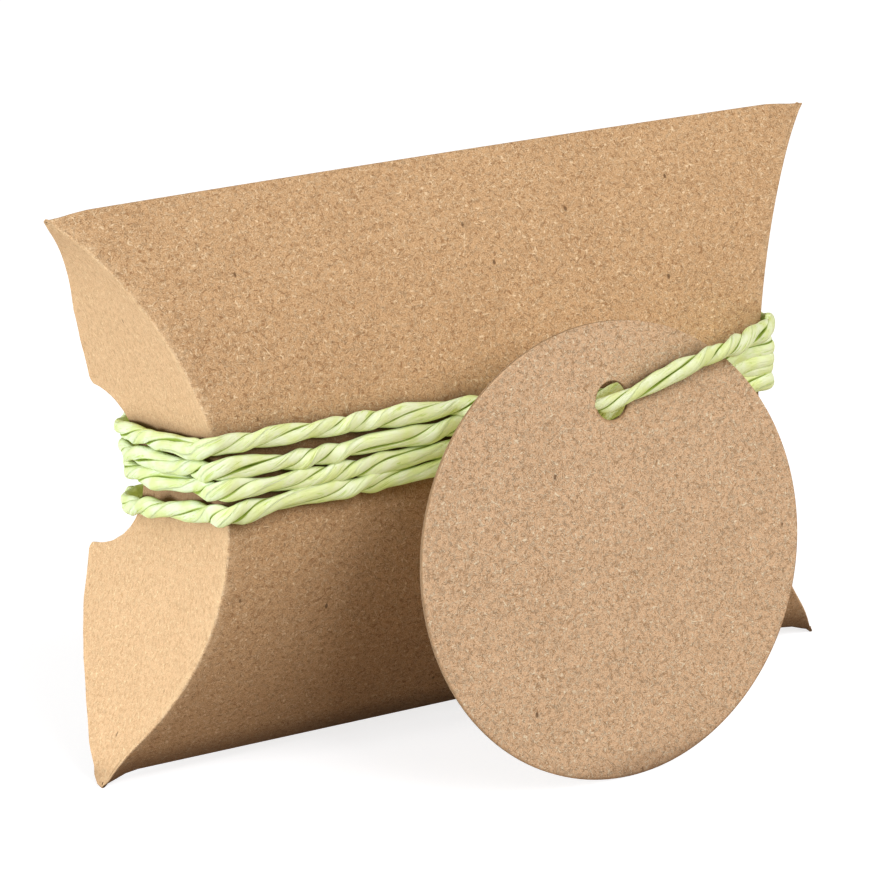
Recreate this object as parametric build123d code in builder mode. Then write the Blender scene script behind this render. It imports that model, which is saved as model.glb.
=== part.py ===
"""A kraft card pillow box, tied round its length with paper twine that carries a round card tag.

Millimetres, +Z up. The origin is on the table, under the middle of the bottom fold. +X runs along the
box and the front panel, where the tag hangs, faces -Y.
"""

import os
from math import acos, cos, degrees, pi, radians, sin, sqrt

from build123d import *

os.makedirs("parts", exist_ok=True)

# The box
length = 90.0
height = 63.0
half_depth = 12.0
crease_depth = 13.1
card = 0.4
overrun = 5.0

# The tips of the bottom fold, pinched into two small ears that the box stands on
ear_drop = 1.3
ear_flat = 4.0
ear_length = 7.5
pinch_overlap = 0.4

# Glued seam along the top fold
glue = 0.1
tab_width = 12.0
tab_fold_inset = 4.5
tab_edge_inset = 10.5

# Closing flaps
flap_clearance = 0.3
notch_radius = 9.0
spring_out = 7.3
right_spring_share = 0.23
inner_depth_share = 0.6
outer_height_shares = [-0.96, -0.88, -0.7, -0.46, -0.18, 0.12, 0.42, 0.66, 0.84, 0.96]
outer_spring_shares = [0.18, 0.39, 0.76, 0.99, 0.96, 0.83, 0.69, 0.49, 0.21, 0.04]
inner_height_shares = [-0.87, -0.7, -0.4, 0.0, 0.4, 0.7, 0.87]
mitre_shares = [-1.0, -0.75, -0.5, -0.25, 0.0, 0.25, 0.5, 0.75, 1.0]

# Round tag
tag_radius = 24.65
tag_thickness = 0.5
tag_hole_radius = 2.1
tag_hole_inset = 8.5
tag_across = 7.4
tag_forward = 23.8
tag_yaw = 10.0
tag_lean = 8.0
tag_spin = -6.7

# Twine
twine_diameter = 2.0
twine_sides = 8
twine_clearance = 0.3
notch_clearance = 0.55
corner_bend = 2.2
notch_bend = 5.0
rim_bend = 6.0
hole_bend = 2.6
crossing_bend = 12.0
crossing_share = 0.62
rim_share = 0.58
rim_rise_share = 0.74

# Knot
knot_radius = 2.2
knot_end_radius = 1.3
knot_length = 6.0
knot_stub = 3.5
knot_height = 7.9
approach_share = 0.82
approach_drop = 1.2
knot_backing = 4.3
tail_diameter = 1.9
tail_bend = 6.0

# Sizes that follow from those
half_length = length / 2
half_height = height / 2
middle = ear_drop + half_height
panel_radius = (half_height**2 + half_depth**2) / (2 * half_depth)
end_radius = (half_height**2 + crease_depth**2) / (2 * crease_depth)
twine_radius = twine_diameter / 2
mitre_heights = [share * half_height for share in mitre_shares]
corner_outset = corner_bend - (corner_bend - twine_radius - twine_clearance) / sqrt(2)


def arc_height(radius, rise, z):
    """How far an arc of this radius and rise stands off its chord, z above its middle."""
    return sqrt(radius**2 - z**2) - (radius - rise)


def bulge(z):
    """Distance of the panels' outer face from the middle plane, z above mid-height."""
    return arc_height(panel_radius, half_depth, z)


def crease_x(z):
    """Distance of a crease from the middle of the box, z above mid-height."""
    return half_length - arc_height(end_radius, crease_depth, z)


def spring(z):
    """How far the free edge of an outer flap has sprung out, z above mid-height."""
    share = z / half_height
    for low, high, start, end in zip(
        outer_height_shares, outer_height_shares[1:], outer_spring_shares, outer_spring_shares[1:]
    ):
        if low <= share <= high:
            return spring_out * (start + (end - start) * (share - low) / (high - low))
    return 0.0


# Panels: a bowed band of card, trimmed to the front outline and mitred along the curved creases
def panel(side):
    """Front panel for side -1, back panel for side +1."""
    with BuildPart() as work:
        with BuildSketch(Plane.YZ.offset(-half_length)):
            with BuildLine():
                ThreePointArc((0, middle - half_height), (side * half_depth, middle), (0, middle + half_height))
                Line((0, middle + half_height), (0, middle - half_height))
            make_face()
            with BuildLine():
                inner_half = sqrt((panel_radius - card) ** 2 - (panel_radius - half_depth) ** 2)
                ThreePointArc((0, middle - inner_half), (side * (half_depth - card), middle), (0, middle + inner_half))
                Line((0, middle + inner_half), (0, middle - inner_half))
            make_face(mode=Mode.SUBTRACT)
            with Locations((side * card / 2, (ear_drop + pinch_overlap) / 2)):
                Rectangle(card, ear_drop + pinch_overlap)
        extrude(amount=length)
        with BuildSketch(Plane.XZ):
            with BuildLine():
                Polyline(
                    (-half_length, middle + half_height),
                    (-half_length, 0),
                    (-half_length + ear_flat, 0),
                    (-half_length + ear_length, ear_drop),
                    (half_length - ear_length, ear_drop),
                    (half_length - ear_flat, 0),
                    (half_length, 0),
                    (half_length, middle + half_height),
                    close=True,
                )
            make_face()
        extrude(amount=half_depth + overrun, both=True, mode=Mode.INTERSECT)
        for end in (-1, 1):
            mitre = Plane(origin=(0, 0, middle), x_dir=(end, -side, 0), z_dir=(-end, -side, 0))
            with BuildSketch(mitre):
                with BuildLine():
                    crease = [((crease_x(z) - bulge(z)) / sqrt(2), z) for z in mitre_heights]
                    Spline(*crease)
                    past = crease[0][0] + half_length
                    Polyline(crease[-1], (past, crease[-1][1]), (past, crease[0][1]), crease[0])
                make_face()
            extrude(amount=length, both=True, mode=Mode.SUBTRACT)
    return work


front_panel = panel(-1)
back_panel = panel(1)


# Glued seam: the back panel's tab, tucked behind the front panel and stuck to it
def seam_layer(outer_radius, thickness):
    """A band that lies under the front panel from the top fold down to the tab's edge."""
    half_chord = sqrt(outer_radius**2 - (panel_radius - half_depth) ** 2)
    fold_angle = degrees(acos((panel_radius - half_depth) / outer_radius))
    edge_angle = fold_angle - degrees(tab_width / outer_radius)
    centre = (panel_radius - half_depth, middle)
    with BuildPart() as work:
        with BuildSketch(Plane.YZ.offset(-half_length)):
            with BuildLine():
                outer = CenterArc(centre, outer_radius, 180 - fold_angle, fold_angle - edge_angle)
                inner = CenterArc(centre, outer_radius - thickness, 180 - fold_angle, fold_angle - edge_angle)
                Line(outer @ 0, inner @ 0)
                Line(outer @ 1, inner @ 1)
            make_face()
        extrude(amount=length)
        split(bisect_by=Plane.XZ, keep=Keep.TOP)
        with BuildSketch(Plane.XZ):
            with BuildLine():
                low = middle + outer_radius * sin(radians(edge_angle)) - glue
                high = middle + half_chord + glue
                Polyline(
                    (-half_length + tab_fold_inset, high),
                    (half_length - tab_fold_inset, high),
                    (half_length - tab_edge_inset, low - card),
                    (-half_length + tab_edge_inset, low - card),
                    close=True,
                )
            make_face()
        extrude(amount=half_depth + overrun, both=True, mode=Mode.INTERSECT)
    return work


glue_strip = seam_layer(panel_radius - card, glue)
glue_tab = seam_layer(panel_radius - card - glue, card)


# Flaps: sheets ruled straight across the end, bowed inwards, that follow the curved creases
def flap_section(end, side, z, inset, depth_share, lean):
    """Corners of a flap at one height: end and side say which crease it is hinged on."""
    hinge = bulge(z) - inset - flap_clearance
    free = hinge - card - depth_share * 2 * (bulge(z) - card - flap_clearance - inset / 2)
    free = max(free, -(bulge(z) - card - flap_clearance))
    face = crease_x(z) - inset
    return [
        (end * face, side * hinge, middle + z),
        (end * (face + lean), side * free, middle + z),
        (end * (face + lean - card), side * free, middle + z),
        (end * (face - card), side * (hinge - card), middle + z),
    ]


def flap(end, side, inset, depth_share, heights, leans, notched):
    """One closing flap, lofted up its height and notched for a thumb if it is an outer one."""
    with BuildPart() as work:
        for share, lean in zip(heights, leans):
            z = share * half_height
            with BuildSketch(Plane.XY.offset(middle + z)):
                with BuildLine():
                    corners = flap_section(end, side, z, inset, depth_share, lean)
                    Polyline(*[(x, y) for x, y, _ in corners], close=True)
                make_face()
        loft()
        if notched:
            with BuildSketch(Plane.YZ):
                with Locations((-side * (half_depth - card - flap_clearance), middle)):
                    Circle(notch_radius)
            extrude(amount=end * length, mode=Mode.SUBTRACT)
    return work


left_leans = [spring_out * share for share in outer_spring_shares]
right_leans = [right_spring_share * lean for lean in left_leans]
flat = [0.0 for share in inner_height_shares]
inner_inset = card + flap_clearance
left_outer_flap = flap(-1, -1, 0, 1, outer_height_shares, left_leans, True)
right_outer_flap = flap(1, -1, 0, 1, outer_height_shares, right_leans, True)
left_inner_flap = flap(-1, 1, inner_inset, inner_depth_share, inner_height_shares, flat, False)
right_inner_flap = flap(1, 1, inner_inset, inner_depth_share, inner_height_shares, flat, False)


# Tag: a punched disc that leans on the table with its hole at the twine
across = Vector(cos(radians(tag_yaw)), sin(radians(tag_yaw)), 0)
level_out = Vector(sin(radians(tag_yaw)), -cos(radians(tag_yaw)), 0)
up_slope = Vector(0, 0, cos(radians(tag_lean))) - level_out * sin(radians(tag_lean))
tag_out = up_slope.cross(across) * -1
tag_right = across * cos(radians(tag_spin)) + up_slope * sin(radians(tag_spin))
tag_up = up_slope * cos(radians(tag_spin)) - across * sin(radians(tag_spin))
tag_rise = tag_radius * cos(radians(tag_lean)) + tag_thickness / 2 * sin(radians(tag_lean))
tag_centre = Vector(tag_across, -tag_forward, tag_rise)
hole_centre = tag_centre + tag_up * (tag_radius - tag_hole_inset)

with BuildPart() as tag:
    with BuildSketch(Plane(origin=tag_centre, x_dir=tag_right, z_dir=tag_out)):
        Circle(tag_radius)
        with Locations((0, tag_radius - tag_hole_inset)):
            Circle(tag_hole_radius, mode=Mode.SUBTRACT)
    extrude(amount=tag_thickness / 2, both=True)


# Twine: one length wound four times round the middle, from the knot and back to it.
# Heights above the middle of the box, chosen by hand for each turn, at the back left crease,
# front left crease, front right crease and back right crease.
turn_heights = [
    (4.2, 7.7, 10.5, 6.8),
    (1.7, 5.0, 7.6, 4.3),
    (-0.9, 2.4, 5.0, 1.8),
    (-5.0, -0.3, 2.4, -0.7),
]


def corner(end, side, z):
    """A point of the route just outside a crease."""
    x = end * (crease_x(z) + corner_outset)
    y = side * (bulge(z) + corner_outset)
    return (x, y, middle + z)


def notch_point(end, front_z, back_z, leans_share):
    """Where the twine bends over the edge of a thumb notch into the box's end."""
    z = front_z + (back_z - front_z) * crossing_share
    free = half_depth - card - flap_clearance
    y = free - sqrt(notch_radius**2 - z**2)
    lean = leans_share * spring(z) * (y + bulge(z)) / (2 * bulge(z))
    return (end * (crease_x(z) + lean + twine_radius + notch_clearance), y, middle + z)


knot_y = half_depth + knot_backing
knot_end = knot_length / 2
off_tag = tag_thickness / 2 + twine_radius + twine_clearance
route = [
    (-knot_end, knot_y, middle + knot_height),
    (-knot_end - knot_stub, knot_y, middle + knot_height),
]
bends = [crossing_bend]
for turn, (back_left, front_left, front_right, back_right) in enumerate(turn_heights):
    route.append(corner(-1, 1, back_left))
    route.append(notch_point(-1, front_left, back_left, 1))
    route.append(corner(-1, -1, front_left))
    bends += [corner_bend, notch_bend, corner_bend]
    if turn == 0:
        behind_hole = hole_centre - tag_out * off_tag - across * off_tag
        before_hole = hole_centre + tag_out * off_tag + across * off_tag
        to_crease = Vector(*corner(1, -1, front_right)) - hole_centre
        rim = hole_centre + across * rim_share * to_crease.X + level_out * off_tag
        rim += Vector(0, 0, rim_rise_share * to_crease.Z)
        route += [tuple(behind_hole), tuple(before_hole), tuple(rim)]
        bends += [hole_bend, hole_bend, rim_bend]
    route.append(corner(1, -1, front_right))
    route.append(notch_point(1, front_right, back_right, right_spring_share))
    route.append(corner(1, 1, back_right))
    bends += [corner_bend, notch_bend, corner_bend]
route += [
    (approach_share * (crease_x(0) + corner_outset), knot_y, middle - approach_drop),
    (knot_end + knot_stub, knot_y, middle + knot_height),
    (knot_end, knot_y, middle + knot_height),
]
bends += [rim_bend, crossing_bend]

with BuildPart() as twine:
    with BuildLine() as twine_line:
        FilletPolyline(*route, radius=bends)
    with BuildSketch(Plane(origin=route[0], z_dir=(-1, 0, 0))) as twine_end:
        RegularPolygon(twine_radius, twine_sides)
    sweep()

# Knot: a tight barrel between the two ends of the twine, with their cut tails hanging from it
tail_routes = [
    [(-0.8, 0, -0.6), (-2.6, 0.9, -6.0), (-7.2, 0.6, -12.5)],
    [(0.9, 0, -0.6), (2.0, 0.8, -5.4), (6.0, 1.4, -11.0)],
]
with BuildPart() as twine_knot:
    with BuildSketch(Plane.XY):
        with BuildLine():
            swell = ThreePointArc((-knot_end, knot_end_radius), (0, knot_radius), (knot_end, knot_end_radius))
            Polyline(swell @ 1, (knot_end, 0), (-knot_end, 0), swell @ 0)
        make_face()
    revolve(axis=Axis.X)
    for tail in tail_routes:
        with BuildLine() as tail_line:
            FilletPolyline(*tail, radius=tail_bend)
        with BuildSketch(Plane(origin=tail_line.line @ 0, z_dir=tail_line.line % 0)):
            RegularPolygon(tail_diameter / 2, twine_sides)
        sweep(path=tail_line.line)
twine_knot.part = twine_knot.part.moved(Location((0, knot_y, middle + knot_height)))


# How close the twine comes to itself, measured on points along its middle line
def least_gap(wire, diameter):
    """Least clear distance between stretches of a wire that are not neighbours."""
    step = diameter / 4
    count = int(wire.length / step)
    points = [tuple(wire @ (i / count)) for i in range(count + 1)]
    apart = int(3 * diameter / step)
    least = wire.length
    for i, a in enumerate(points):
        for b in points[i + apart :]:
            least = min(least, (a[0] - b[0]) ** 2 + (a[1] - b[1]) ** 2 + (a[2] - b[2]) ** 2)
    return sqrt(least) - diameter


pieces = {
    "front_panel": front_panel,
    "back_panel": back_panel,
    "glue_strip": glue_strip,
    "glue_tab": glue_tab,
    "left_outer_flap": left_outer_flap,
    "left_inner_flap": left_inner_flap,
    "right_outer_flap": right_outer_flap,
    "right_inner_flap": right_inner_flap,
    "tag": tag,
    "twine": twine,
    "twine_knot": twine_knot,
}
for name, piece in pieces.items():
    piece.part.label = name
    export_step(piece.part, f"parts/{name}.step")

twine_wire = twine_line.wire()
swept_share = twine.part.volume / (twine_end.sketch.area * twine_wire.length)
print("twine length", round(twine_wire.length, 1), "volume over section times length", round(swept_share, 4))
print("twine bends", bends)
print("twine least gap to itself", round(least_gap(twine_wire, twine_diameter), 2))
print("tag hinge at", hole_centre, "axis", across * -1)
for point in route:
    print("twine route point", [round(value, 2) for value in point])
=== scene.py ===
"""Looks of a kraft card pillow box, tied with paper twine that carries a round card tag.

Lengths are millimetres until a mesh is made, and the frame's metres from there on.
"""

import math

import bpy
import numpy as np
from mathutils import Matrix, Vector


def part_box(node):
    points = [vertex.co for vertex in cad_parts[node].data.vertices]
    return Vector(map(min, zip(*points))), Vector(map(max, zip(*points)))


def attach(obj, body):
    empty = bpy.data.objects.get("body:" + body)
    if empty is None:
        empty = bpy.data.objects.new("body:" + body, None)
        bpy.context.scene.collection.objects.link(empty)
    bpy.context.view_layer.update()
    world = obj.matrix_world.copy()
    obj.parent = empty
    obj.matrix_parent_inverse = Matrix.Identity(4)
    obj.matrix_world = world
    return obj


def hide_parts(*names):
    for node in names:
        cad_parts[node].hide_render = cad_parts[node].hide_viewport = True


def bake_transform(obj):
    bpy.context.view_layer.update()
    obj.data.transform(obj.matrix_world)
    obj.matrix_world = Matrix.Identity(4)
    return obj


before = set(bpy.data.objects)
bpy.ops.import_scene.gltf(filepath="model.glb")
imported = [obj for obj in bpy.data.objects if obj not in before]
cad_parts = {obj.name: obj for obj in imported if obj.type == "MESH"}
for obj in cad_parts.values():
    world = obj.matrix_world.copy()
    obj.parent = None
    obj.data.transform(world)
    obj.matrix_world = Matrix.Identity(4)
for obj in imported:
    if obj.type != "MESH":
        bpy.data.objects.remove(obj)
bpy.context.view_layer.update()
MM = 0.001
scene = bpy.context.scene
scene.view_settings.view_transform = "Standard"

# The box, read from the frame where a node's own corners give it
low_corner, high_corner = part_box("front_panel")
HALF_LENGTH = high_corner.x / MM
HALF_DEPTH = -low_corner.y / MM
EAR_DROP = 1.3
HALF_HEIGHT = (high_corner.z / MM - EAR_DROP) / 2
MIDDLE = EAR_DROP + HALF_HEIGHT
CREASE_DEPTH = 13.1
CARD = 0.4
FOLD_RADIUS = 0.45
CREASE_RADIUS = 0.4
FOLD_TOP = HALF_HEIGHT + 0.5 * FOLD_RADIUS
PANEL_RADIUS = (FOLD_TOP**2 + HALF_DEPTH**2) / (2 * HALF_DEPTH)
END_RADIUS = (HALF_HEIGHT**2 + CREASE_DEPTH**2) / (2 * CREASE_DEPTH)

# Its tips: the ears droop and are tucked in, the top tips dip, and the top edge bows up. Each
# starts at a share of the half height.
EAR_LENGTH = 5.0
EAR_STEEP = 1.18
EAR_FROM, DIP_FROM, TUCK_FROM = 0.76, 0.8, 0.87
TIP_WIDTH = 1.7
TIP_FROM, TIP_EASE = 0.9, 0.07
TIP_DROP = 1.1
TIP_TUCK = 0.5
TOP_DIP = 0.45
TOP_BOW = 0.22
NOSE_RADIUS = 1.2

# Its flaps: thumb notches with eased corners, and free edges that spring out by a share of
# SPRING_OUT at each share of the half height
NOTCH_RADIUS = 9.0
NOTCH_RISE = 0.6
NOTCH_CORNER = 0.9
NOTCH_EASE = 0.55
INNER_INSET = CARD + 0.3
INNER_DEPTH_SHARE = 0.6
SPRING_OUT = 7.3
RIGHT_SPRING_SHARE = 0.23
SPRING_HEIGHTS = [-1.0, -0.95, -0.89, -0.775, -0.65, -0.56, -0.46, -0.27,
                  0.0, 0.3, 0.47, 0.6, 0.72, 0.84, 0.95, 1.0]
SPRING_SHARES = [0.05, 0.2, 0.37, 0.62, 0.83, 0.93, 1.0, 0.98,
                 0.9, 0.72, 0.67, 0.57, 0.4, 0.24, 0.1, 0.02]

# Card is rubbed paler: fully at the creases, less as far as WEAR_REACH beside them, and on the
# rims of the free edges, which a die leaves rounded and a touch thicker
CREASE_WEAR = 0.6
WEAR_REACH = 0.5
RIM_WEAR = 0.45
RIM_SWELL, RIM_REACH = 1.12, 0.1

# Each face takes its own stretch of the map, and the hidden side of the card one further on
HIDDEN_MAP = [0, 200]
FLAP_MAP = 300
TAG_FRONT_MAP, TAG_BACK_MAP = 600, 800

# Slices of the card lie closer together at these distances from a tip and from a notch's edge
TIP_OFFSETS = (0.02, 0.06, 0.12, 0.2, 0.32, 0.5, 0.75, 1.1)
EDGE_OFFSETS = (-1.2, -0.8, -0.45, -0.2, -0.08, 0.0, 0.05, 0.15, 0.35, 0.7)
NOSE_SHARES = np.array([0.995, 0.96, 0.9, 0.8, 0.6, 0.3])

# Twine: two plies of folded paper, which twist more slowly over the ends of the box
PLY_THICK = 0.8
PLY_WIDE = 0.8
PLY_OFFSET = 0.36
PLY_FLAT = 0.03
PLY_PITCH = 11.0
RING_STEP = 0.32
PLY_SIDES = 24
END_SLOWER = 0.4
SLOWER_FROM, SLOWER_EASE = 28.0, 4.0
KINK_DEPTH = 0.14

# The stretch over the left end faces the lamp, so its paper colour is toned down there as painted shade,
# to keep its folds visible
LEFT_END_FROM, LEFT_END_EASE = 31.0, 3.5

# How the twine is pressed: where it turns at the creases, and in the tag's hole. The spreads are
# square millimetres.
CORNER_X, CORNER_Y = 33.5, 12.8
CORNER_SPREAD = 18.0
FLATTER, CORNER_FLATTER = 0.26, 0.14
CORNER_WIDER = 0.12
HOLE_PINCH = 0.28
PINCH_SPREAD = 14.0

# Round tag
TAG_RADIUS = 24.65
TAG_THICKNESS = 0.5
TAG_HOLE_RADIUS = 2.1
TAG_HOLE_INSET = 8.5
TAG_ACROSS = 7.4
TAG_FORWARD = 23.8
TAG_YAW = math.radians(10.0)
TAG_LEAN = math.radians(8.0)
TAG_SPIN = math.radians(-6.7)
TAG_WARP = 0.12
TAG_SIDES = 160
CUT_SHARE = 0.72


# Small helpers
def smooth(share):
    """Eases from 0 to 1 as share goes from 0 to 1, and holds outside."""
    share = np.clip(share, 0.0, 1.0)
    return share * share * (3 - 2 * share)


def toward_fold(z, share):
    """Eases from 0 at this share of the half height to 1 at the fold."""
    start = share * HALF_HEIGHT
    return smooth((z - start) / (HALF_HEIGHT - start))


def unit(vectors):
    """The same directions at length one."""
    return vectors / np.maximum(np.linalg.norm(vectors, axis=-1, keepdims=True), 1e-9)


def bulge(z):
    """How far the panels stand off the middle plane, z above mid-height."""
    arc = np.sqrt(PANEL_RADIUS**2 - np.clip(z, -HALF_HEIGHT, HALF_HEIGHT) ** 2)
    return arc - (PANEL_RADIUS - HALF_DEPTH)


def crease_x(z):
    """How far the creases lie from the middle of the length, z above mid-height."""
    arc = np.sqrt(END_RADIUS**2 - np.clip(z, -HALF_HEIGHT, HALF_HEIGHT) ** 2)
    return HALF_LENGTH - (arc - (END_RADIUS - CREASE_DEPTH))


def crease_radius(depth):
    """The radius of a crease, smaller where the panels close at the tips."""
    return min(CREASE_RADIUS, 0.45 * depth + 0.03)


def spring(z):
    """How far the free edge of an outer flap stands out, z above mid-height."""
    return SPRING_OUT * np.interp(z / HALF_HEIGHT, SPRING_HEIGHTS, SPRING_SHARES)


def settle(points):
    """Gives card its droop: ears under the bottom tips, a soft dip at the top ones and a slight bow."""
    x, y, z = points[..., 0], points[..., 1], points[..., 2]
    from_tip = np.clip(1 - (HALF_LENGTH - np.abs(x)) / EAR_LENGTH, 0, 1)
    ear = TIP_DROP * np.minimum(EAR_STEEP * from_tip, 1) ** 2 * toward_fold(-z, EAR_FROM)
    dip = TOP_DIP * smooth(from_tip) * toward_fold(z, DIP_FROM)
    bow = TOP_BOW * smooth(z / HALF_HEIGHT) * (1 - (x / HALF_LENGTH) ** 2)
    tuck = TIP_TUCK * from_tip**2 * toward_fold(-z, TUCK_FROM)
    return np.stack([x - np.sign(x) * tuck, y, z - ear - dip + bow + MIDDLE], axis=-1)


# Meshes
def mesh_object(name, points, faces, uv, marks, smooth_angle=40.0):
    """A mesh from points in millimetres, with a map in millimetres and named point values."""
    mesh = bpy.data.meshes.new(name)
    mesh.from_pydata([tuple(p) for p in np.asarray(points) * MM], [], faces)
    mesh.validate()
    layer = mesh.uv_layers.new(name="surface_mm")
    corners = np.zeros(len(mesh.loops), np.int32)
    mesh.loops.foreach_get("vertex_index", corners)
    layer.data.foreach_set("uv", np.asarray(uv, np.float32)[corners].ravel())
    for mark, values in marks.items():
        attribute = mesh.attributes.new(mark, "FLOAT", "POINT")
        attribute.data.foreach_set("value", np.asarray(values, np.float32))
    for polygon in mesh.polygons:
        polygon.use_smooth = True
    mesh.set_sharp_from_angle(angle=math.radians(smooth_angle))
    piece = bpy.data.objects.new(name, mesh)
    scene.collection.objects.link(piece)
    return piece


def skin(count, sides):
    """Faces over closed rings with as many sides each, one after another, with flat ends."""
    faces = []
    for i in range(count - 1):
        a, b = i * sides, (i + 1) * sides
        for j in range(sides):
            k = (j + 1) % sides
            faces.append((a + j, a + k, b + k, b + j))
    faces.append(tuple(range(sides))[::-1])
    faces.append(tuple((count - 1) * sides + j for j in range(sides)))
    return faces


def thicken(outer, inward, thickness):
    """Points of the hidden side of a sheet, one card below its visible side."""
    normal = unit(np.cross(np.gradient(outer, axis=1), np.gradient(outer, axis=0)))
    toward = np.sum(normal * inward, axis=-1, keepdims=True)
    return outer + normal * np.where(toward < 0, -1, 1) * thickness


def heights(count, *dense):
    """Slice heights from tip to tip, closer together at the tips and around each dense height."""
    angles = np.linspace(-math.pi / 2, math.pi / 2, count)
    z = list(0.35 * HALF_HEIGHT * np.sin(angles) + 0.65 * HALF_HEIGHT * angles / (math.pi / 2))
    z += [sign * (HALF_HEIGHT - offset) for sign in (-1, 1) for offset in TIP_OFFSETS]
    for centre in dense:
        z += [centre + offset for offset in EDGE_OFFSETS]
    return np.array(sorted(set(np.round(z, 4))))


def card_mesh(name, outer, inner, uv, wear, rims=()):
    """A sheet of card: its visible side, the rims along its free edge, if any, and its hidden side."""
    uv, wear = np.array(uv), np.array(wear)
    rings = [settle(outer)] + [settle(rim)[:, None] for rim in rims] + [settle(inner)[:, ::-1]]
    maps = [uv] + [uv[:, -1:]] * len(rims) + [uv[:, ::-1] + HIDDEN_MAP]
    marks = [wear] + [np.full((len(wear), 1), RIM_WEAR)] * len(rims) + [np.zeros_like(wear)]
    rings, maps, marks = (np.concatenate(values, axis=1) for values in (rings, maps, marks))
    faces = skin(*rings.shape[:2])
    return mesh_object(name, rings.reshape(-1, 3), faces, maps.reshape(-1, 2), {"crease": marks.ravel()})


def panel_profile():
    """A panel's slice heights and how far each slice stands out, with the rounded folds at both ends."""
    lean = math.asin(HALF_HEIGHT / PANEL_RADIUS)
    centre_z = HALF_HEIGHT - FOLD_RADIUS
    z_main = heights(70)
    z_main = z_main[np.abs(z_main) < centre_z + FOLD_RADIUS * math.sin(lean) - 0.05]
    turn = np.linspace(lean, math.pi / 2, 6)
    fold_z = centre_z + FOLD_RADIUS * np.sin(turn)
    fold_y = FOLD_RADIUS * np.cos(turn)
    z = np.concatenate([-fold_z[::-1], z_main, fold_z])
    return z, np.concatenate([fold_y[::-1], bulge(z_main), fold_y])


def panel(name, side):
    """A bowed panel with rounded folds along its top and bottom and rounded creases at its ends."""
    profile_z, profile_y = panel_profile()
    travel = np.concatenate([[0], np.cumsum(np.hypot(np.diff(profile_z), np.diff(profile_y)))])
    across = np.linspace(0, 1, 60)
    arc_angles = np.radians([15, 30, 45])
    arc_wear = [0.75, 0.9, 1.0]
    rows, wear, uv = [], [], []
    for z, y, travelled in zip(profile_z, profile_y, travel):
        radius = crease_radius(y)
        flat = float(crease_x(z)) - radius
        arc = [(flat + radius * math.sin(a), y - radius + radius * math.cos(a)) for a in arc_angles]
        between = [(x, y) for x in (2 * across - 1) * flat]
        row = [(-x, depth) for x, depth in arc[::-1]] + between + arc
        beside = np.minimum(across, 1 - across) * 2 * flat
        rows.append([(x, side * depth, z) for x, depth in row])
        wear.append(arc_wear[::-1] + list(CREASE_WEAR * np.exp(-beside / WEAR_REACH)) + arc_wear)
        uv.append([(x, travelled) for x, _ in row])
    outer = np.array(rows)
    inner = thicken(outer, np.array([0, -side, 0]), CARD)
    inner[..., 1] = side * np.maximum(side * inner[..., 1], 0.01)
    inner[..., 0] = np.clip(inner[..., 0], outer[:, :1, 0] + 0.3 * CARD, outer[:, -1:, 0] - 0.3 * CARD)
    return card_mesh(name, outer, inner, uv, wear)


def flap_heights(inset):
    """A flap's slice heights: an inner one stops short of the tips, an outer one hangs below the lower."""
    if inset:
        z = heights(50)
        return z[(z >= -0.9 * HALF_HEIGHT) & (z <= 0.93 * HALF_HEIGHT)]
    z = heights(76, NOTCH_RISE - NOTCH_RADIUS, NOTCH_RISE + NOTCH_RADIUS)
    z = z[(z >= -HALF_HEIGHT) & (z <= 0.996 * HALF_HEIGHT)]
    return np.concatenate([-HALF_HEIGHT - (EAR_DROP - TIP_DROP) * NOSE_SHARES, z])


def outer_reach(z, hinge):
    """How far an outer flap reaches from its hinge, before and after its nose and notch are cut."""
    tip = TIP_WIDTH * smooth((-z / HALF_HEIGHT - TIP_FROM) / TIP_EASE)
    whole = max(2 * hinge, float(tip) + hinge)
    below = max(0.0, NOSE_RADIUS - (EAR_DROP - TIP_DROP) - HALF_HEIGHT - z) / NOSE_RADIUS
    reach = whole * math.sqrt(max(0.0, 1 - below**2))
    from_notch = abs(z - NOTCH_RISE)
    if from_notch < NOTCH_RADIUS:
        return whole, reach - math.sqrt(NOTCH_RADIUS**2 - from_notch**2)
    beyond = (from_notch - NOTCH_RADIUS) / NOTCH_CORNER
    return whole, reach - NOTCH_EASE * max(0.0, 1 - beyond) ** 2


def flap_row(z, inset, spring_share):
    """One slice of a flap, from its crease to its free edge: places and how much each is rubbed."""
    face = float(crease_x(z)) - inset
    if inset:
        hinge = float(bulge(z)) - inset - 0.1
        whole = reach = INNER_DEPTH_SHARE * (2 * float(bulge(z)) - inset - CARD)
        radius = 0.0
    else:
        hinge = float(bulge(z))
        whole, reach = outer_reach(z, hinge)
        radius = crease_radius(hinge)
    lean = spring_share * float(spring(z))
    row, mark = [], []
    for degrees, rubbed in ((45, 1.0), (60, 0.88), (75, 0.76)):
        a = math.radians(degrees)
        row.append((face - radius + radius * math.sin(a), hinge - radius + radius * math.cos(a)))
        mark.append(rubbed)
    for share in np.linspace(0, 1, 26):
        step = radius + (reach - radius) * share
        row.append((face + lean * (step / max(whole, 1e-3)) ** 1.15, hinge - step))
        mark.append(CREASE_WEAR * math.exp(-(step - radius) / WEAR_REACH))
    return row, np.zeros(len(mark)) if inset else mark


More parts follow.
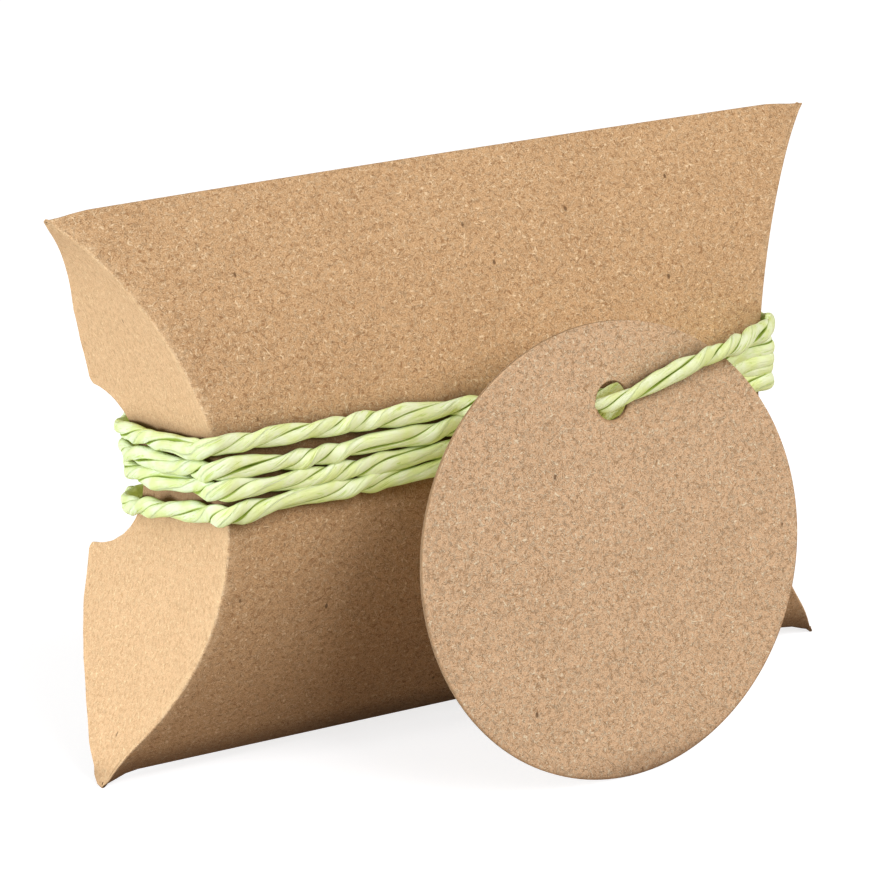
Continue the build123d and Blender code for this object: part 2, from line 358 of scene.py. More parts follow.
def flap(name, end, side, inset=0.0, spring_share=0.0):
    """A closing flap, hinged on the crease at this end and side.

    An outer flap has no inset. It is notched and sprung out at its free edge. An inner one is plain.
    """
    rows, wear, uv = [], [], []
    for z in flap_heights(inset):
        row, mark = flap_row(z, inset, spring_share)
        rows.append([(end * x, side * y, z) for x, y in row])
        wear.append(mark)
        uv.append([(FLAP_MAP + side * 2 * y + end * 40, z) for x, y in row])
    outer = np.array(rows)
    inner = thicken(outer, np.array([-end, 0, 0]), CARD)
    if not inset:
        inner[:, :3] = outer[:, :3] + (inner[:, 3:4] - outer[:, 3:4])
    middle = (outer[:, -1] + inner[:, -1]) / 2
    half = (outer[:, -1] - inner[:, -1]) / 2
    away = unit(outer[:, -1] - outer[:, -2])
    angles = np.radians([30, 90, 150])
    rims = [middle + half * RIM_SWELL * math.cos(a) + away * RIM_REACH * math.sin(a) for a in angles]
    return card_mesh(name, outer, inner, uv, wear, rims)


def tag_frame():
    """The tag's centre, then its right, up and out of its front, then level across and level out."""
    across = Vector((math.cos(TAG_YAW), math.sin(TAG_YAW), 0))
    level_out = Vector((math.sin(TAG_YAW), -math.cos(TAG_YAW), 0))
    up = Vector((0, 0, math.cos(TAG_LEAN))) - level_out * math.sin(TAG_LEAN)
    out = across.cross(up)
    right = across * math.cos(TAG_SPIN) + up * math.sin(TAG_SPIN)
    spun = up * math.cos(TAG_SPIN) - across * math.sin(TAG_SPIN)
    rise = TAG_RADIUS * math.cos(TAG_LEAN) + TAG_THICKNESS / 2 * math.sin(TAG_LEAN)
    return Vector((TAG_ACROSS, -TAG_FORWARD, rise)), right, spun, out, across, level_out


def tag_hole():
    """The middle of the tag's hole."""
    centre, _, up, _, _, _ = tag_frame()
    return centre + up * (TAG_RADIUS - TAG_HOLE_INSET)


def tag_disc():
    """The punched tag: a die-cut disc, barely warped, with both rims eased by the cut."""
    centre, right, up, out, _, _ = tag_frame()
    angles = np.linspace(0, 2 * math.pi, TAG_SIDES, endpoint=False)
    ring = np.stack([np.cos(angles), np.sin(angles)], axis=-1)
    inner_circle = np.array([0, TAG_RADIUS - TAG_HOLE_INSET]) + ring * TAG_HOLE_RADIUS
    outer_circle = ring * TAG_RADIUS
    shares = np.concatenate([[0.0, 0.012, 0.03], np.linspace(0.06, 0.975, 22), [0.992, 1.0]])
    half = TAG_THICKNESS / 2
    profile = [(share, half) for share in shares] + [(share, -half) for share in shares[::-1]]
    loops, marks = [], []
    for share, level in profile:
        at_cut = share in (0.0, 1.0)
        flat = inner_circle + (outer_circle - inner_circle) * share
        warp = TAG_WARP * np.sin(flat[:, 0] / 15 + 0.5) * np.cos(flat[:, 1] / 19)
        stand = level * (CUT_SHARE if at_cut else 1.0) + warp
        loops.append(np.concatenate([flat, stand[:, None]], axis=1))
        marks.append(np.full(TAG_SIDES, 1.0 if at_cut else 0.0))
    loops = np.array(loops)
    points = loops @ np.array([right, up, out]) + np.array(centre)
    faces = []
    for i in range(len(profile)):
        a, b = i * TAG_SIDES, (i + 1) % len(profile) * TAG_SIDES
        for j in range(TAG_SIDES):
            k = (j + 1) % TAG_SIDES
            faces.append((a + j, b + j, b + k, a + k))
    uv = loops[..., :2] + np.where(loops[..., 2:] > 0, TAG_FRONT_MAP, TAG_BACK_MAP)
    marks = {"cut": np.ravel(marks)}
    return mesh_object("tag_card", points.reshape(-1, 3), faces, uv.reshape(-1, 2), marks)


# The twine's route, chosen as in the model. Heights above the middle of the box for each
# turn: back left crease, front left crease, front right crease, back right crease.
TURN_HEIGHTS = [
    (3.9, 7.6, 9.6, 7.0),
    (2.2, 5.0, 7.4, 5.0),
    (0.4, 2.75, 5.6, 3.2),
    (-4.6, 0.1, 3.6, 1.2),
]
# Where each turn lies on the front panel: distance along it and height above the middle
ON_FRONT = [
    ((-10.0, 7.15), (-3.0, 7.0)),
    ((-24.0, 4.5), (-8.0, 5.0), (12.0, 5.0)),
    ((-24.0, 2.4), (-12.0, 2.55), (12.0, 3.3)),
    ((-24.0, 0.6), (-12.0, 0.6), (12.0, 1.5)),
]
# How far the twine stands off each crease, by end and side, and off the left notch on each turn
OUTSETS = {(-1, 1): 2.2, (-1, -1): 1.3, (1, -1): 1.1, (1, 1): 1.3}
LEFT_SLACK = (1.6, 2.2, 2.3, 2.8)
RIGHT_SLACK = 1.3
LEFT_SAG = (0.2, 0.09, 0.0, 0.0)
BEND_REACH = 3.2
END_SPAN = 27.0
NOTCH_SHARE = 0.45
NOTCH_GAP = 0.6
PANEL_GAP = 1.0
MOST_CREASE_GAP = 1.5
HOLE_STAND_OFF = 0.95
KNOT_Y, KNOT_Z = 16.3, 7.9


def round_crease(end, side, z, slope_in, slope_out):
    """Three points that lead the twine round a crease, from the panel's side to the end's."""
    outset = OUTSETS[end, side]
    x = end * (float(crease_x(z)) + outset)
    y = side * (float(bulge(z)) + min(outset, MOST_CREASE_GAP))
    on_panel = (x - end * BEND_REACH, y, z - slope_in * BEND_REACH)
    on_end = (x, y - side * BEND_REACH, z + slope_out * BEND_REACH)
    return [on_panel, (x, y, z), on_end]


def notch_point(end, front_z, back_z, share, slack):
    """Where the twine bends over the edge of a thumb notch."""
    z = front_z + (back_z - front_z) * NOTCH_SHARE
    y = HALF_DEPTH - NOTCH_GAP - math.sqrt(NOTCH_RADIUS**2 - z**2)
    lean = share * float(spring(z)) * (y + float(bulge(z))) / (2 * float(bulge(z)))
    return (end * (float(crease_x(z)) + lean + slack), y, z)


def through_tag():
    """Points from behind the tag, through the low left of its hole, and up to the right over its face."""
    _, _, up, out, across, level_out = tag_frame()
    hole = tag_hole()
    off = TAG_THICKNESS / 2 + HOLE_STAND_OFF
    low_left = hole - across * 1.05 - up * 0.3
    places = [low_left - out * off - across * off, low_left + out * off + across * 0.3]
    for right, forward, rise in ((11.0, 1.15, 2.4), (15.5, 2.2, 3.4)):
        places.append(hole + across * right + level_out * forward + Vector((0, 0, rise)))
    return [(place.x, place.y, place.z - MIDDLE) for place in places]


def twine_route():
    """Control points of the twine's line, from the knot round the box four times and back."""
    route = [(-3.0, KNOT_Y, KNOT_Z), (-6.5, KNOT_Y, KNOT_Z)]
    for turn, (back_left, front_left, front_right, back_right) in enumerate(TURN_HEIGHTS):
        left_slope = (front_left - back_left) / END_SPAN
        right_slope = (back_right - front_right) / END_SPAN
        route += round_crease(-1, 1, back_left, 0.03, left_slope)
        route.append(notch_point(-1, front_left, back_left, 1, LEFT_SLACK[turn]))
        route += round_crease(-1, -1, front_left, -0.03, -left_slope - LEFT_SAG[turn])[::-1]
        route += [(x, -float(bulge(z)) - PANEL_GAP, z) for x, z in ON_FRONT[turn]]
        right_turn = round_crease(1, -1, front_right, 0.04, right_slope)
        route += through_tag() + right_turn[1:] if turn == 0 else right_turn
        route.append(notch_point(1, front_right, back_right, RIGHT_SPRING_SHARE, RIGHT_SLACK))
        route += round_crease(1, 1, back_right, 0.06, -right_slope)[::-1]
    route += [(27.5, KNOT_Y, -1.2), (6.5, KNOT_Y, KNOT_Z), (3.0, KNOT_Y, KNOT_Z)]
    return [(x, y, z + MIDDLE) for x, y, z in route]


def smooth_line(name, route, step):
    """Evenly spaced points of the NURBS line that has the route's points as its controls."""
    curve = bpy.data.curves.new(name, "CURVE")
    curve.dimensions = "3D"
    curve.resolution_u = 16
    spline = curve.splines.new("NURBS")
    spline.points.add(len(route) - 1)
    for point, place in zip(spline.points, route):
        point.co = (*[value * MM for value in place], 1.0)
    spline.order_u = 3
    spline.use_endpoint_u = True
    guide = bpy.data.objects.new(name, curve)
    scene.collection.objects.link(guide)
    bpy.context.view_layer.update()
    read = bpy.data.meshes.new_from_object(guide)
    points = np.array([vertex.co for vertex in read.vertices]) / MM
    bpy.data.objects.remove(guide)
    bpy.data.meshes.remove(read)
    travel = np.concatenate([[0], np.cumsum(np.linalg.norm(np.diff(points, axis=0), axis=1))])
    even = np.linspace(0, travel[-1], int(travel[-1] / step) + 1)
    return np.stack([np.interp(even, travel, points[:, k]) for k in range(3)], axis=-1), travel[-1]


def ripple(seed, s, *waves):
    """Soft seeded noise along a length: each wave is a wavelength and a height."""
    rng = np.random.default_rng(seed)
    total = np.zeros_like(s)
    for wavelength, height in waves:
        for _ in range(3):
            length = wavelength * rng.uniform(0.7, 1.4)
            phase = rng.uniform(0, 6.3)
            total += height / 2 * np.sin(2 * math.pi * s / length + phase)
    return total


def pressed(line, rows):
    """Flattens the twine toward the box, most at the creases, and pinches it in the tag's hole."""
    x, y = line[:, 0], line[:, 1]
    away = unit(np.stack([np.sign(x) * np.abs(x / CORNER_X) ** 8, np.sign(y) * np.abs(y / CORNER_Y) ** 8,
                          np.zeros(len(line))], axis=1))
    beside = np.cross(unit(np.gradient(line, axis=0)), away)[:, None]
    away = away[:, None]
    corner = np.exp(-((np.abs(x) - CORNER_X) ** 2 + (np.abs(y) - CORNER_Y) ** 2) / CORNER_SPREAD)
    corner = corner[:, None, None]
    spread = rows - line[:, None]
    outward = np.sum(spread * away, axis=-1, keepdims=True) * away
    sideways = np.sum(spread * beside, axis=-1, keepdims=True) * beside
    spread = spread - (FLATTER + CORNER_FLATTER * corner) * outward + CORNER_WIDER * corner * sideways
    from_hole = np.sum((line - np.array(tag_hole())) ** 2, axis=1)
    pinch = 1 - HOLE_PINCH * np.exp(-from_hole / PINCH_SPREAD)
    return line[:, None] + spread * pinch[:, None, None]


def carried_normals(tangent):
    """A direction across a line at each of its points, carried along without turning about it."""
    normal = np.zeros_like(tangent)
    normal[0] = unit(np.cross(tangent[0], [0.3, 0.1, 0.9]))
    for i in range(1, len(tangent)):
        normal[i] = unit(normal[i - 1] - tangent[i] * np.dot(normal[i - 1], tangent[i]))
    return normal


def ply_section(key, s, around):
    """A ply's folded section along its length: how far out and aside each point lies, and its kinks."""
    offset = (PLY_OFFSET * (1 + ripple(key + 1, s, (7, 0.1), (15, 0.1))))[:, None]
    size = (1 + ripple(key + 2, s, (4, 0.07), (9, 0.12), (21, 0.12)))[:, None]
    lean = ripple(key + 3, s, (6, 0.22), (17, 0.25))[:, None]
    kink = 0.5 * np.abs(np.sin(1.5 * around + 0.7 * ripple(key + 4, s, (11, 2.0))[:, None]))
    thick = PLY_THICK * size * (1 + KINK_DEPTH * (kink - 0.5))
    outward = np.maximum(offset + thick * np.cos(around) + lean * 0.35 * np.sin(around), PLY_FLAT)
    beside = PLY_WIDE * (1 + 0.7 * (size - 1)) * np.sin(around)
    return outward, beside, kink


def joined(parts):
    """Points, faces, map and fold depth of several meshes as those of one."""
    faces, base = [], 0
    for points, some_faces, _, _ in parts:
        faces += [tuple(base + index for index in face) for face in some_faces]
        base += len(points)
    points, _, maps, depths = zip(*parts)
    return np.concatenate(points), faces, np.concatenate(maps), np.concatenate(depths)


def plies(line, seed, flatten=False):
    """Two folded paper plies twisted round each other: points, faces, map, and depth in the folds."""
    tangent = unit(np.gradient(line, axis=0))
    normal = carried_normals(tangent)
    binormal = np.cross(tangent, normal)
    s = np.arange(len(line)) * RING_STEP
    around = np.linspace(0, 2 * math.pi, PLY_SIDES, endpoint=False)[None]
    slower = 1 - END_SLOWER * smooth((np.abs(line[:, 0]) - SLOWER_FROM) / SLOWER_EASE)
    wander = ripple(seed, s, (19, 0.8), (45, 1.6))
    turned = wander - 2 * math.pi * np.cumsum(slower) * RING_STEP / PLY_PITCH
    parts = []
    for ply in range(2):
        key = seed * 10 + 5 * ply
        twist = (turned + ply * math.pi + ripple(key, s, (9, 0.1), (23, 0.12)))[:, None]
        radial = np.cos(twist) * normal + np.sin(twist) * binormal
        sideways = np.cross(tangent, radial)
        outward, beside, kink = ply_section(key, s, around)
        rows = line[:, None] + outward[..., None] * radial[:, None] + beside[..., None] * sideways[:, None]
        rows = pressed(line, rows) if flatten else rows
        places = np.broadcast_arrays(s[:, None], (around - math.pi) * 0.8 + 10 * ply)
        places = np.stack(places, axis=-1).reshape(-1, 2)
        hidden = np.clip(1 - (outward - PLY_FLAT) / 0.24, 0, 1) + 0.2 * (0.5 - kink)
        parts.append((rows.reshape(-1, 3), skin(*rows.shape[:2]), places, hidden.ravel()))
    return joined(parts)


# Materials
def linear(code):
    """An sRGB hex colour as linear red, green, blue and alpha."""
    values = [int(code[i : i + 2], 16) / 255 for i in (1, 3, 5)]
    return [v / 12.92 if v <= 0.04045 else ((v + 0.055) / 1.055) ** 2.4 for v in values] + [1.0]


def add(tree, kind, settings=None, **links):
    """Adds a node, sets its properties and inputs, and links sockets, by name or as i0, i1 and so on."""
    node = tree.nodes.new(kind)
    for key, value in (settings or {}).items():
        if isinstance(key, str) and hasattr(node, key) and key not in node.inputs:
            setattr(node, key, value)
        else:
            node.inputs[key].default_value = value
    for key, source in links.items():
        by_number = key[0] == "i" and key[1:].isdigit()
        socket = node.inputs[int(key[1:]) if by_number else key.replace("_", " ")]
        tree.links.new(source, socket)
    return node


def blank_material(name):
    """A material with an empty node tree, and that tree."""
    material = bpy.data.materials.new(name)
    material.use_nodes = True
    tree = material.node_tree
    tree.nodes.clear()
    return material, tree


def combine(tree, operation, a, b):
    """The result of a sum on two values that are numbers or sockets."""
    node = add(tree, "ShaderNodeMath", {"operation": operation})
    for socket, value in zip(node.inputs, (a, b)):
        if isinstance(value, (int, float)):
            socket.default_value = value
        else:
            tree.links.new(value, socket)
    return node.outputs[0]


def mix(tree, share, a, b):
    """Mixes two colours by a share that is a number or a socket."""
    node = add(tree, "ShaderNodeMix", {"data_type": "RGBA"})
    for socket, value in ((node.inputs[0], share), (node.inputs[6], a), (node.inputs[7], b)):
        if isinstance(value, (int, float)):
            socket.default_value = value
        elif isinstance(value, str):
            socket.default_value = linear(value)
        else:
            tree.links.new(value, socket)
    return node.outputs[2]


def remap(tree, value, low, high, to_low=0.0, to_high=1.0):
    """Carries a value over from one range to another, held at both ends."""
    settings = {"From Min": low, "From Max": high, "To Min": to_low, "To Max": to_high}
    return add(tree, "ShaderNodeMapRange", settings, Value=value).outputs[0]


def noise(tree, place, size, detail, roughness=0.5, distortion=0.0):
    """Noise with features of about this size."""
    settings = {"Scale": 1 / size, "Detail": detail, "Roughness": roughness, "Distortion": distortion}
    return add(tree, "ShaderNodeTexNoise", settings, Vector=place).outputs["Fac"]


def mapping(tree, place, settings):
    """A place that is moved, turned or scaled."""
    return add(tree, "ShaderNodeMapping", settings, Vector=place).outputs[0]


def attribute(tree, name):
    """A point value that the mesh carries, 0 where it has none."""
    return add(tree, "ShaderNodeAttribute", {"attribute_name": name}).outputs["Fac"]


def openness(tree, reach):
    """How open a point is within this reach in millimetres: 1 in the open, 0 where it is closed in."""
    return add(tree, "ShaderNodeAmbientOcclusion", {"samples": 8, "Distance": reach * MM}).outputs["AO"]


def fibres(tree, place, angle, width, cut, seed):
    """A mask of short, nearly straight fibres at one angle: bits of a stretched noise's level lines."""
    turned = mapping(tree, place, {"Rotation": (0, 0, angle), "Location": (seed, seed * 0.7, 0)})
    stretched = mapping(tree, turned, {"Scale": (1 / 2.2, 1 / 0.24, 1)})
    level = combine(tree, "SUBTRACT", noise(tree, stretched, 1.0, 0.0, distortion=0.1), 0.5)
    line = remap(tree, combine(tree, "ABSOLUTE", level, 0.0), width, 0.2 * width)
    gate = noise(tree, mapping(tree, place, {"Location": (-seed, seed, 0)}), 0.55, 0.0)
    return combine(tree, "MULTIPLY", line, remap(tree, gate, cut, cut + 0.04))


def board_fibres(tree, place):
    """Masks of the board's light and dark fibres, which lie at four angles each."""
    light, deep = 0.0, 0.0
    for k in range(4):
        angle = math.pi * k / 4 + 0.35
        more_light = fibres(tree, place, angle, 0.04, 0.57, 13.7 + 17.1 * k)
        more_deep = fibres(tree, place, angle + 0.4, 0.045, 0.58, 91.3 + 23.9 * k)
        light = combine(tree, "MAXIMUM", light, more_light)
        deep = combine(tree, "MAXIMUM", deep, more_deep)
    return light, deep


def bark_specks(tree, place):
    """A mask of a few specks of bark, about 0.3 mm wide and 0.5 mm long."""
    spread = mapping(tree, place, {"Rotation": (0, 0, 0.5), "Scale": (1 / 4, 1 / 6.8, 1 / 4)})
    speck = add(tree, "ShaderNodeTexVoronoi", {"Scale": 1.0, "Randomness": 1.0}, Vector=spread)
    return remap(tree, speck.outputs["Distance"], 0.056, 0.03)


def board_relief(tree, grain, pulp, light, deep, relief):
    """Grain, pulp and light fibres stand up from the board, and dark fibres lie in it."""
    height = combine(tree, "MULTIPLY", combine(tree, "ADD", grain, light), 0.5)
    height = combine(tree, "ADD", height, combine(tree, "MULTIPLY", pulp, 0.15))
    height = combine(tree, "SUBTRACT", height, combine(tree, "MULTIPLY", deep, 0.4))
    bump = add(tree, "ShaderNodeBump", {"Strength": relief, "Distance": 0.06 * MM}, Height=height)
    return bump.outputs[0]


def kraft_board(name, base, dark, pale, from_map=True, relief=1.0):
    """Uncoated brown kraft board: unbleached fibres lie every way, so it is mottled, flecked and matt."""
    material, tree = blank_material(name)
    if from_map:
        place = add(tree, "ShaderNodeUVMap", {"uv_map": "surface_mm"}).outputs[0]
    else:
        in_metres = add(tree, "ShaderNodeTexCoord").outputs["Object"]
        place = mapping(tree, in_metres, {"Scale": (1 / MM, 1 / MM, 1 / MM)})
    # Clouds of thicker and thinner pulp, 9 mm and 1.5 mm across, and grain of 0.15 mm
    cloud = noise(tree, place, 9.0, 2.0)
    pulp = noise(tree, place, 1.5, 1.0)
    grain = noise(tree, place, 0.15, 1.0, roughness=0.6)
    broad = combine(tree, "MULTIPLY", cloud, 0.45)
    clouds = combine(tree, "ADD", broad, combine(tree, "MULTIPLY", pulp, 0.55))
    colour = mix(tree, remap(tree, clouds, 0.38, 0.62, 0.22, 0.0), base, dark)
    colour = mix(tree, remap(tree, grain, 0.5, 0.68, 0.0, 0.55), colour, pale)
    colour = mix(tree, remap(tree, grain, 0.48, 0.3, 0.0, 0.6), colour, dark)
    # Fibres and bark
    light, deep = board_fibres(tree, place)
    colour = mix(tree, light, colour, pale)
    colour = mix(tree, combine(tree, "MULTIPLY", deep, 0.8), colour, dark)
    colour = mix(tree, combine(tree, "MULTIPLY", bark_specks(tree, place), 0.72), colour, "#54391F")
    # Creases are rubbed paler in patches, and the tag's cut edge is darker: partly the cut's own colour
    # and partly painted shade that dulls the lamp's highlight on its rim
    patchy = remap(tree, pulp, 0.35, 0.6, 0.05, 0.42)
    colour = mix(tree, combine(tree, "MULTIPLY", attribute(tree, "crease"), patchy), colour, pale)
    colour = mix(tree, combine(tree, "MULTIPLY", attribute(tree, "cut"), 0.8), colour, dark)
    # Painted shade: the card's colour is darkened where something lies close over it and keeps the light
    # out
    shade = remap(tree, openness(tree, 5.0), 0.92, 0.3, 0.0, 0.85)
    colour = mix(tree, shade, colour, "#5E4026")
    normal = board_relief(tree, grain, pulp, light, deep, relief)
    rough = remap(tree, grain, 0.0, 1.0, 0.78, 0.92)
    shader = add(tree, "ShaderNodeBsdfPrincipled", {"IOR": 1.45, "Specular IOR Level": 0.22},
                 Base_Color=colour, Roughness=rough, Normal=normal)
    add(tree, "ShaderNodeOutputMaterial", Surface=shader.outputs[0])
    return material


def paper_twine():
    """Twisted crepe paper, dyed pale green: near white where it lies flat, with dye and painted shade in
    its folds, and a painted glow.
    """
    material, tree = blank_material("twisted_paper_twine")
    along = add(tree, "ShaderNodeUVMap", {"uv_map": "surface_mm"}).outputs[0]
    stretched = mapping(tree, along, {"Scale": (1 / 2.6, 1 / 0.34, 1)})
    creases = noise(tree, stretched, 1.0, 3.0, roughness=0.65, distortion=0.7)
    # Pale patches, toned darker on the left end as painted shade, with darker lines along the creases, and
    # darker green in the folds that is partly dye and partly painted shade of the grooves
    at_end = attribute(tree, "end")
    patches = remap(tree, noise(tree, along, 2.2, 2.0), 0.4, 0.62)
    plain = mix(tree, at_end, "#F3FAE4", "#DEE6CD")
    dyed = mix(tree, at_end, "#E6EFB8", "#D2DBA2")
    colour = mix(tree, patches, plain, dyed)
    lines = remap(tree, creases, 0.41, 0.35)
    colour = mix(tree, combine(tree, "MULTIPLY", lines, 0.7), colour, "#AFC45A")
    # Folds between the plies: darker green, partly dye and partly painted shade of the grooves
    edge = remap(tree, attribute(tree, "fold"), 0.5, 1.0)
    colour = mix(tree, edge, colour, "#8FA53C")
    # Painted shade: where strands lie close to each other, their colour is darkened toward that of their
    # folds
    shade = remap(tree, openness(tree, 3.0), 0.75, 0.2)
    colour = mix(tree, combine(tree, "MULTIPLY", shade, 0.5), colour, "#8DA238")
    # Painted glow: the paper emits a green of its own in place of light that passes through the dyed paper
    # and fills its shade; it is weaker in the folds and dimmed by the painted shade where strands lie
    # close
    glow = mix(tree, edge, "#717C2C", "#454F18")
    glow = mix(tree, combine(tree, "MULTIPLY", shade, 0.85), glow, "#1F250A")
    crackle = noise(tree, along, 0.45, 3.0, roughness=0.7)
    height = combine(tree, "ADD", creases, combine(tree, "MULTIPLY", crackle, 0.6))
    bump = add(tree, "ShaderNodeBump", {"Strength": 0.9, "Distance": 0.14 * MM}, Height=height)
    settings = {"Roughness": 0.5, "Specular IOR Level": 0.35, "Emission Strength": 1.0}
    shader = add(tree, "ShaderNodeBsdfPrincipled", settings,
                 Base_Color=colour, Emission_Color=glow, Normal=bump.outputs[0])
    through = add(tree, "ShaderNodeBsdfTranslucent", {"Color": linear("#CFE27E")}, Normal=bump.outputs[0])
    paper = add(tree, "ShaderNodeMixShader", {0: 0.2}, i1=shader.outputs[0], i2=through.outputs[0])
    add(tree, "ShaderNodeOutputMaterial", Surface=paper.outputs[0])
    return material


def dried_glue():
    """Dried dispersion glue: a thin, slightly glossy cream film."""
    material, tree = blank_material("dried_dispersion_glue")
    place = add(tree, "ShaderNodeTexCoord").outputs["Object"]
    smear = noise(tree, place, 1 / 600, 3.0)
    colour = mix(tree, smear, "#D9CFB2", "#C6B48E")
    shader = add(tree, "ShaderNodeBsdfPrincipled", {"Roughness": 0.4, "IOR": 1.47}, Base_Color=colour)
    add(tree, "ShaderNodeOutputMaterial", Surface=shader.outputs[0])
    return material


# Pieces of card
def dress(piece, material, body, node):
    """Gives a piece its material, slot and body, if it has one, and hides the solid that it stands for."""
    piece.data.materials.clear()
    piece.data.materials.append(material)
    if body:
        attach(piece, body)
    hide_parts(node)
    return piece


def bend_at_crease(flap_piece):
    """Bakes a flap's placement into its mesh."""
    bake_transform(flap_piece)


box_card = kraft_board("kraft_board", "#CCA67B", "#99714A", "#EACFA8")
# Painted light: the outer flaps take a lighter, less mottled copy of the same board, which stands in for
# more lamp light on the ends
end_card = kraft_board("kraft_board_end", "#D3AD84", "#B69066", "#E5C79A", relief=0.7)
tag_board = kraft_board("kraft_tag_board", "#E3BF99", "#AA8762", "#F5E5C6", relief=1.1)
plain_card = kraft_board("kraft_board_inside", "#CCA67B", "#99714A", "#EACFA8", from_map=False)
twine_paper = paper_twine()

dress(panel("front_card", -1), box_card, "box", "front_panel")
dress(panel("back_card", 1), box_card, "box", "back_panel")
for label, end, spring_share in (("left", -1, 1.0), ("right", 1, RIGHT_SPRING_SHARE)):
    outer_flap = flap(f"{label}_outer_card", end, -1, spring_share=spring_share)
    dress(outer_flap, end_card, None, f"{label}_outer_flap")
    bend_at_crease(outer_flap)
    inner_flap = flap(f"{label}_inner_card", end, 1, inset=INNER_INSET)
    dress(inner_flap, box_card, None, f"{label}_inner_flap")
    bend_at_crease(inner_flap)
tag_piece = dress(tag_disc(), tag_board, "tag_body", "tag")
for node, material in (("glue_tab", plain_card), ("glue_strip", dried_glue())):
    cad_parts[node].data.materials.clear()
    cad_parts[node].data.materials.append(material)


# Twine and its knot
def knot_line(route):
    """A line of the knot, from points given about the knot's middle."""
    places = [(x, y + KNOT_Y, z + KNOT_Z + MIDDLE) for x, y, z in route]
    return smooth_line("knot_line", places, RING_STEP)[0]


def knot_mesh():
    """A tight knot: two wraps round both ends, and two cut tails that hang from under them."""
    whole = 4.4 * math.pi
    wraps = [(4.6 * a / whole - 2.4, 1.45 * math.sin(a), 1.45 * math.cos(a))
             for a in np.linspace(0, whole, 23)]
    right_tail = [(2.6, 0.9, -2.6), (2.5, 0.9, -5.6), (3.8, 1.1, -8.6), (6.3, 1.4, -11.0)]
    left_tail = [(-0.8, 0.0, -0.6), (-2.2, 0.9, -3.2), (-2.9, 1.0, -6.5), (-4.6, 0.7, -9.6),
                 (-7.4, 0.6, -12.3)]
    points, faces, places, folds = joined([plies(knot_line(wraps + right_tail), 7),
                                           plies(knot_line(left_tail), 11)])
    return mesh_object("twine_tie", points, faces, places, {"fold": folds}, smooth_angle=50)


line, twine_length = smooth_line("twine_line", twine_route(), RING_STEP)
points, faces, places, folds = plies(line, 3, flatten=True)
left_end = smooth((-points[:, 0] - LEFT_END_FROM) / LEFT_END_EASE)
marks = {"fold": folds, "end": left_end}
twine = mesh_object("paper_twine", points, faces, places, marks, smooth_angle=50)
dress(twine, twine_paper, "twine_loop", "twine")
knot = dress(knot_mesh(), twine_paper, "twine_loop", "twine_knot")


# Floor, light and camera
def floor():
    """A pale floor that reads white to the camera and keeps the object's soft shadow."""
    mesh = bpy.data.meshes.new("floor")
    reach = 3.0
    corners = [(-reach, -reach, 0), (reach, -reach, 0), (reach, reach, 0), (-reach, reach, 0)]
    mesh.from_pydata(corners, [], [(0, 1, 2, 3)])
    ground = bpy.data.objects.new("floor", mesh)
    scene.collection.objects.link(ground)
    material, tree = blank_material("white_sweep")
    seen = add(tree, "ShaderNodeLightPath")
    glossy = combine(tree, "MAXIMUM", seen.outputs["Is Camera Ray"], seen.outputs["Is Glossy Ray"])
    direct = combine(tree, "MAXIMUM", glossy, seen.outputs["Is Transmission Ray"])
    bounce = add(tree, "ShaderNodeBsdfDiffuse", {"Color": (0.25, 0.175, 0.12, 1)})
    white = add(tree, "ShaderNodeBsdfDiffuse", {"Color": (0.5, 0.51, 0.53, 1)})
    glow = add(tree, "ShaderNodeEmission", {"Color": (1, 1, 1, 1), "Strength": 0.74})
    lit = add(tree, "ShaderNodeAddShader", i0=white.outputs[0], i1=glow.outputs[0])
    both = add(tree, "ShaderNodeMixShader", i0=direct, i1=bounce.outputs[0], i2=lit.outputs[0])
    add(tree, "ShaderNodeOutputMaterial", Surface=both.outputs[0])
    mesh.materials.append(material)


def area_light(name, place, size, power, colour):
    """A soft square lamp that faces the box. Places and sizes are metres."""
    lamp = bpy.data.lights.new(name, "AREA")
    lamp.size = size
    lamp.energy = power
    lamp.color = colour
    holder = bpy.data.objects.new(name, lamp)
    place = Vector(place)
    holder.location = place
    holder.rotation_euler = (Vector((0, 0, MIDDLE * MM)) - place).to_track_quat("-Z", "Y").to_euler()
    scene.collection.objects.link(holder)


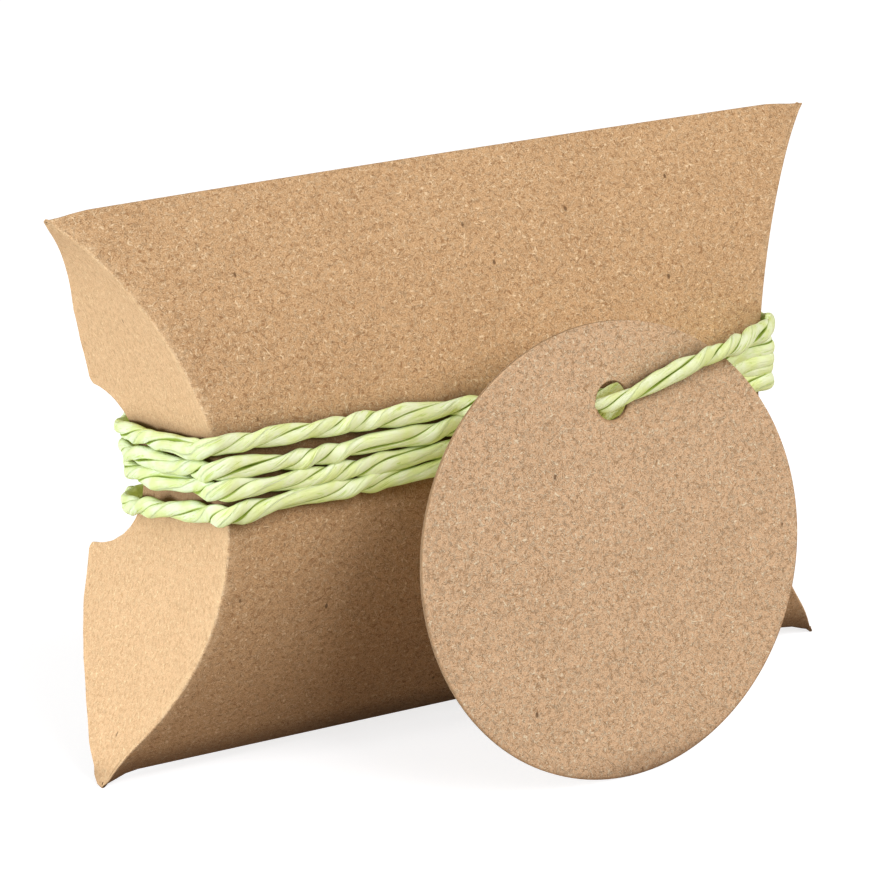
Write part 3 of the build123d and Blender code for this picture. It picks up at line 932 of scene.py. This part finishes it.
def studio():
    """Even surroundings, white to the camera, a low lamp at the far left and a broad one high in front."""
    world = bpy.data.worlds.new("studio")
    world.use_nodes = True
    scene.world = world
    tree = world.node_tree
    tree.nodes.clear()
    seen = add(tree, "ShaderNodeLightPath").outputs["Is Camera Ray"]
    around = add(tree, "ShaderNodeBackground", {"Color": (1.0, 0.88, 0.78, 1), "Strength": 0.34})
    behind = add(tree, "ShaderNodeBackground", {"Color": (1, 1, 1, 1), "Strength": 1.0})
    both = add(tree, "ShaderNodeMixShader", i0=seen, i1=around.outputs[0], i2=behind.outputs[0])
    add(tree, "ShaderNodeOutputWorld", Surface=both.outputs[0])
    area_light("key", (-1.2, -0.08, 0.2), 0.3, 18.6, (0.9, 0.97, 1.03))
    area_light("front", (0.36, -0.88, 0.7), 0.75, 11.0, (1.0, 0.97, 0.96))


def camera():
    """The photograph's own view: a long lens, a little above the box and to the left of it."""
    azimuth, elevation, roll = math.radians(23.17), math.radians(17.53), math.radians(-3.366)
    focal_px, frame_px, centre_px = 3500.0, 880.0, (455.8, 431.9)
    heights_away = 6.175
    distance = heights_away * 2 * HALF_HEIGHT
    level = Vector((math.cos(azimuth), -math.sin(azimuth), 0))
    forward = Vector((math.sin(azimuth) * math.cos(elevation), math.cos(azimuth) * math.cos(elevation),
                      -math.sin(elevation)))
    upward = level.cross(forward)
    right = level * math.cos(roll) + upward * math.sin(roll)
    up = upward * math.cos(roll) - level * math.sin(roll)
    aside = (centre_px[0] - frame_px / 2) / focal_px * distance
    above = -(centre_px[1] - frame_px / 2) / focal_px * distance
    place = Vector((0, 0, MIDDLE)) - right * aside - up * above - forward * distance
    lens = bpy.data.cameras.new("camera")
    lens.sensor_width = 36.0
    lens.sensor_fit = "HORIZONTAL"
    lens.lens = focal_px / frame_px * lens.sensor_width
    lens.clip_start = 0.01
    view = bpy.data.objects.new("camera", lens)
    axes = Matrix((right, up, -forward)).transposed()
    view.matrix_world = Matrix.Translation(place * MM) @ axes.to_4x4()
    scene.collection.objects.link(view)
    scene.camera = view


floor()
studio()
camera()
